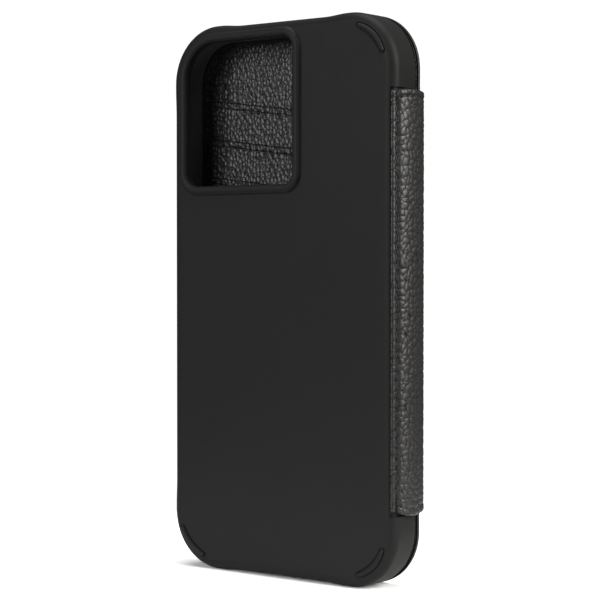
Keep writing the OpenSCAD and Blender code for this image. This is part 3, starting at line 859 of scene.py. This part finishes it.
# the spine's lining is an arc, eased at its ends
ARC_X, ARC_Y, ARC_R, LINING_T, LINING_HALF = 30.15, 7.2, 9.65, 0.3, 3.2
arc = [math.asin(t * LINING_HALF / ARC_R) for t in np.linspace(-1, 1, 15)]
rings = []
for z, ease in ((-55.2, 0.12), (-55.05, 0), (-40, 0), (0, 0), (40, 0), (55.05, 0), (55.2, 0.12)):
    ring = [(ARC_R + ease, a) for a in arc] + [(ARC_R + LINING_T, a) for a in reversed(arc)]
    rings.append(np.array([(ARC_X + r * math.cos(a), ARC_Y + r * math.sin(a), z) for r, a in ring]))
make("spine_microfibre", *loft(rings), PILE, "spine", "microfibre", ["spine_lining"], 40)


# ---------------------------------------------------------------- cover
COVER_STEP = 0.28  # the outer leather's mesh step
PANEL_STEP = 0.325
EDGE_INSETS = [0, 0.06, 0.15, 0.27, 0.42, 0.6, 0.8, 1.0, 1.2]  # of the rings over its rounded edge
UNDER_SPINE_X, UNDER_SPINE_Z = 32.5, 57.5  # where the spine's skin lies on the cover


def heading(degrees):
    """A unit vector in the cover's plane."""
    a = math.radians(degrees)
    return np.array([math.cos(a), math.sin(a)])


def cover_grid(step, r, x0, x1, h):
    """A flat rounded panel of rings about a grid: points, how far in each is, faces and the outer ring."""
    insets = EDGE_INSETS + list(np.arange(EDGE_INSETS[-1] + step, r - 0.3, step * 1.6))
    nx, nz = int((x1 - x0 - 2 * r) / step), int(2 * (h - r) / step)
    xs, zs = np.linspace(x0 + r, x1 - r, nx + 1), np.linspace(r - h, h - r, nz + 1)
    grid = np.arange((nx + 1) * (nz + 1)).reshape(nz + 1, nx + 1)
    verts = [np.array((x, z)) for z in zs for x in xs]
    depths = [r] * len(verts)
    faces = quads(grid)
    # the grid's edge from its lower right corner, anticlockwise, with each corner repeated for its arc
    sides = [grid[:, -1], grid[-1, ::-1], grid[::-1, 0], grid[0, :]]
    turn = int(r * 1.57 / step / 1.3)
    core = [i for side in sides for i in [side[0]] * turn + list(side)]
    rings = []
    for inset in insets:
        ring = []
        for k, side in enumerate(sides):
            out = r - inset
            ring += [verts[side[0]] + out * heading(90 * (k - 1 + q / turn)) for q in range(turn)]
            ring += [verts[i] + out * heading(90 * k) for i in side]
        rings.append(list(range(len(verts), len(verts) + len(ring))))
        verts += ring
        depths += [inset] * len(ring)
    for a, b in zip(rings, rings[1:] + [core]):
        for i in range(len(core)):
            j = (i + 1) % len(core)
            face = tuple(dict.fromkeys((a[i], a[j], b[j], b[i])))
            if len(face) > 2:
                faces.append(face)
    return np.array(verts), np.array(depths), faces, rings[0]


flat, insets, faces, rim_loop = cover_grid(COVER_STEP, COVER_R, COVER_X0, COVER_X1, COVER_H)
height, lit_share = pebbles(cover_u(flat[:, 0]), flat[:, 1])
row = bell(insets - COVER_SEAM, 0.35)
relief = COVER_RELIEF * (height - RELIEF_LEVEL) * np.clip(insets / 0.6, 0, 1)
relief = relief * (1 - 0.5 * row) - 0.2 * row
face_y = COVER_Y - COVER_ROUND * edge_drop(insets, COVER_ROUND) + np.minimum(relief, 0.02)
verts = [np.stack([flat[:, 0], face_y, flat[:, 1]], 1)]

rim = flat[rim_loop]
arc_centre = np.clip(rim, [COVER_X0 + COVER_R, COVER_R - COVER_H], [COVER_X1 - COVER_R, COVER_H - COVER_R])
outward = (rim - arc_centre) / np.hypot(*(rim - arc_centre).T)[:, None]


def shrunk(inset, y):
    """The cover's outline moved inwards, point for point with its face's own edge."""
    return at_y(arc_centre + outward * (COVER_R - inset), y)


# the leather turns round the edge and under
TURNED_IN = [(0, HEM_Y + 0.25), (0.08, HEM_Y + 0.07), (0.25, HEM_Y), (1.0, HEM_Y), (1.0, COVER_Y - 0.8)]
loop, count = list(rim_loop), len(flat)
for inset, y in TURNED_IN:
    after = list(range(count, count + len(loop)))
    faces += zip(loop, loop[1:] + loop[:1], after[1:] + after[:1], after)
    verts.append(shrunk(inset, y))
    count += len(loop)
    loop = after
faces.append(tuple(loop))
verts = np.concatenate(verts)
grain = np.stack([cover_u(verts[:, 0]), verts[:, 2]], 1)
# Painted shade: the colour darkens in the seams, along the stitched row's groove and, strongly, on the
# turned-in edge where it faces the gap.
tone = np.clip(lit_share * (1 - 0.5 * row), 0, 1)
tone = np.concatenate([tone, np.repeat([0.7, 0.5, 0.1, 0.1, 0.1], len(loop))])
make("cover_outer_leather", verts, faces, SPINE_LEATHER, "cover", "leather_cover", ["cover_leather"], 50,
     grain, tone)

LINING_EDGE = [(0.5, HEM_Y), (0.5, LINING_Y + 0.2), (0.56, LINING_Y + 0.06), (0.7, LINING_Y),
               (2.0, LINING_Y)]
verts, faces = loft([shrunk(inset, y) for inset, y in LINING_EDGE])
grain = verts[:, [0, 2]] + [300, 40]  # its own part of the grain, away from the card panels'
# Painted shade: the lining's edge wall in the gap under the hem is darkened, fading out onto its face.
tone = np.repeat([0.1, 0.1, 0.1, 0.4, 1.0], len(rim))
make("cover_inner_lining", verts, faces, INNER_LEATHER, "cover", "leather_lining", ["cover_lining"], 40,
     grain, tone)


# ---------------------------------------------------------------- card pockets
def card_panel(name, node, k):
    """A card pocket's panel: its slanted mouth is turned over and rounded, lifted off the layer behind."""
    x0, x1 = COVER_X0 + PANEL_INSET, COVER_X1 - PANEL_INSET
    h, r = COVER_H - PANEL_INSET, COVER_R - PANEL_INSET
    back = LINING_Y - k * PANEL_T
    bend = r * (1 - np.cos(np.linspace(0, math.pi / 2, 16)))
    middle = np.linspace(x0 + r, x1 - r, int((x1 - x0 - 2 * r) / PANEL_STEP) + 1)[1:-1]
    xs = np.concatenate([x0 + bend, middle, x1 - bend[::-1]])
    past = np.clip(np.maximum(x0 + r - xs, xs - (x1 - r)), 0, r)
    low = r - h - np.sqrt(r * r - past * past)
    mouth = SLOT_Z - k * SLOT_STEP - math.tan(SLANT) * xs
    # rows below the mouth, closest at its rolled edge and at its stitches
    below = np.concatenate([[0, 0.04, 0.1, 0.18, 0.3, 0.45, 0.7], np.arange(1.0, 1.6, 0.3),
                            np.arange(1.6, 2.75, 0.13), np.arange(3.0, 4.1, 0.3), np.arange(4.6, 12, 1.2)])
    rows = [mouth - d for d in below]
    rows += [(mouth - below[-1]) * (1 - q) + low * q for q in np.linspace(0, 1, 50)[1:]]
    Z = np.array(rows)
    X = np.repeat(xs[None, :], len(Z), 0)
    D = mouth - Z
    edge = np.minimum(np.minimum(X - x0, x1 - X), Z - low)
    seam = D * math.cos(SLANT) - SLOT_SEAM  # from the row of stitches
    along = (X - 0.5 * (x0 + x1)) / math.cos(SLANT)
    row = bell(seam, 0.3)
    hole = np.exp(-((seam / 0.5) ** 2 + (off_hole(along, STITCH_PITCH) / 0.55) ** 2) ** 1.5)
    y = back - PANEL_T - 0.10 * bell(D, 2.5) * np.clip(edge / 6, 0, 1) + 0.08 * row + 0.24 * hole
    y += 0.34 * edge_drop(D, 0.42) + 0.2 * edge_drop(edge, 0.3)
    # Painted shadow: the colour darkens along the pocket's mouth, in the needle holes and along the
    # stitched row.
    lit_face = np.clip(D / 0.6, 0, 1) ** 3 * (1 - 0.97 * hole) * (1 - 0.35 * row)
    shape = sheet(np.stack([X, y, Z], -1), np.stack([X, np.full_like(X, back), Z], -1))
    grain = np.stack([X + 37 * (k + 1), Z + 61 * k], -1).reshape(-1, 2)  # each panel's own part
    make(name, *shape, INNER_LEATHER, "cover", "leather_lining", [node], 50, np.tile(grain, (2, 1)),
         np.concatenate([lit_face.ravel(), np.ones(X.size)]))


for k, level in enumerate(("upper", "middle", "lower")):
    card_panel("card_slot_" + level, "card_pocket_" + level, k)

threads = []
for k in range(3):
    for i in range(-13, 14):
        x = -0.4 + i * STITCH_PITCH * math.cos(SLANT)
        z = SLOT_Z - k * SLOT_STEP - math.tan(SLANT) * x - SLOT_SEAM / math.cos(SLANT)
        y = LINING_Y - (k + 1) * PANEL_T + 0.115  # sunk into the panel
        threads.append(stitch((x, y, z), (math.cos(SLANT), 0, -math.sin(SLANT)), (0, -1, 0), 1.95, 0.17))
sew("slot_threads", threads, "cover", "slot_stitching")

# stitches round the cover's outer face, but not where the spine's skin lies on it
path = []
for k, (x, z) in enumerate(((1, -1), (1, 1), (-1, 1), (-1, -1))):
    corner = np.array([COVER_X1 - COVER_R if x > 0 else COVER_X0 + COVER_R, z * (COVER_H - COVER_R)])
    path += [corner + (COVER_R - COVER_SEAM) * heading(90 * (k - 1) + 5 * i) for i in range(19)]
path = np.array(path + path[:1])
dist = np.concatenate([[0], np.cumsum(np.hypot(*np.diff(path, axis=0).T))])


def on_path(s):
    """The stitched row's point (x, z) at a distance along it."""
    return np.array([np.interp(s, dist, path[:, 0]), np.interp(s, dist, path[:, 1])])


threads = []
total = int(dist[-1] / STITCH_PITCH)
for i in range(total):
    s = (i + 0.5) * dist[-1] / total
    (x, z), ahead = on_path(s), on_path(s + 0.1) - on_path(s)
    ahead /= np.linalg.norm(ahead)
    if x <= UNDER_SPINE_X or abs(z) >= UNDER_SPINE_Z:
        threads.append(stitch((x, COVER_Y - 0.16, z), (ahead[0], 0, ahead[1]), (0, 1, 0), 1.95, 0.21))
sew("cover_threads", threads, "cover", "cover_stitching")


# ---------------------------------------------------------------- stage, light, camera (metres)
AIM = (0, 0, 0.08)
WORLD_LIGHT, WORLD_SEEN = 0.2, 1.05  # the surroundings' strength as light, and behind the object
FLOOR_RADIUS = 0.135
CAMERA_TURN = math.radians(39)  # round from the back
CAMERA_AWAY, CAMERA_Z = 507.5, 11.9  # millimetres in the object's frame, as are the sensor and the lens
SENSOR, LENS = 36, 109.92
LOOK_RIGHT, LOOK_DOWN = 0.012063, 0.023745  # tangents of how far it looks off the tray's middle and level

m, tree, shader = material("pale_floor")
soft = noise(tree, tree.nodes.new("ShaderNodeTexCoord").outputs["Object"], 3.0, 2.0)
dress(tree, shader, {"Base Color": mixed(tree, soft, grey(0.891), grey(0.9)), "Roughness": 0.9,
                     "Specular IOR Level": 0.1})
bpy.ops.mesh.primitive_circle_add(vertices=96, radius=FLOOR_RADIUS, fill_type="NGON", location=(0, 0, 0))
floor = bpy.context.object
floor.name = "floor"
floor.data.materials.append(m)

scene = bpy.context.scene
world = bpy.data.worlds.new("studio")
scene.world = world
world.use_nodes = True
tree = world.node_tree
level = tree.nodes.new("ShaderNodeMapRange")
seen = tree.nodes.new("ShaderNodeLightPath").outputs["Is Camera Ray"]
dress(tree, level, {"Value": seen, "To Min": WORLD_LIGHT, "To Max": WORLD_SEEN})
dress(tree, tree.nodes["Background"], {"Color": (1.0, 1.0, 1.0, 1), "Strength": level.outputs["Result"]})


def add_light(name, kind, energy):
    """A new light's object and its data."""
    light = bpy.data.lights.new(name, kind)
    light.energy = energy
    obj = bpy.data.objects.new(name, light)
    scene.collection.objects.link(obj)
    return obj, light


def area(name, where, size, power, size_y=None, color=(1, 1, 1)):
    """A rectangular light aimed at the object."""
    obj, light = add_light(name, "AREA", power)
    light.shape = "RECTANGLE"
    light.size, light.size_y = size, size_y or size
    light.color = color
    obj.location = where
    obj.rotation_euler = (Vector(AIM) - Vector(where)).to_track_quat("-Z", "Y").to_euler()


_, sun = add_light("overhead", "SUN", 3.0)
sun.angle = math.radians(50)
area("key", (1.1, 0.12, 0.6), size=0.55, power=32, size_y=0.9, color=(1.0, 0.985, 0.95))
area("opening", (-0.36, -1.22, 0.46), size=0.8, power=18)

forward = Vector((-math.sin(CAMERA_TURN), math.cos(CAMERA_TURN), 0))
right = Vector((math.cos(CAMERA_TURN), math.sin(CAMERA_TURN), 0))
look = (forward + right * LOOK_RIGHT - Vector((0, 0, LOOK_DOWN))).normalized()
side = look.cross(Vector((0, 0, 1))).normalized()
turn = Matrix((side, side.cross(look).normalized(), -look)).transposed()
where = point(CAMERA_AWAY * math.sin(CAMERA_TURN), -CAMERA_AWAY * math.cos(CAMERA_TURN), CAMERA_Z)
cam_data = bpy.data.cameras.new("camera")
cam_data.sensor_width = SENSOR
cam_data.lens = LENS
cam_data.clip_start, cam_data.clip_end = 0.02, 50
camera = bpy.data.objects.new("camera", cam_data)
scene.collection.objects.link(camera)
camera.matrix_world = Matrix.Translation(Vector(where)) @ turn.to_4x4()
scene.camera = camera
scene.view_settings.view_transform = "Standard"
scene.view_settings.look = "None"
scene.view_settings.exposure = 0.0
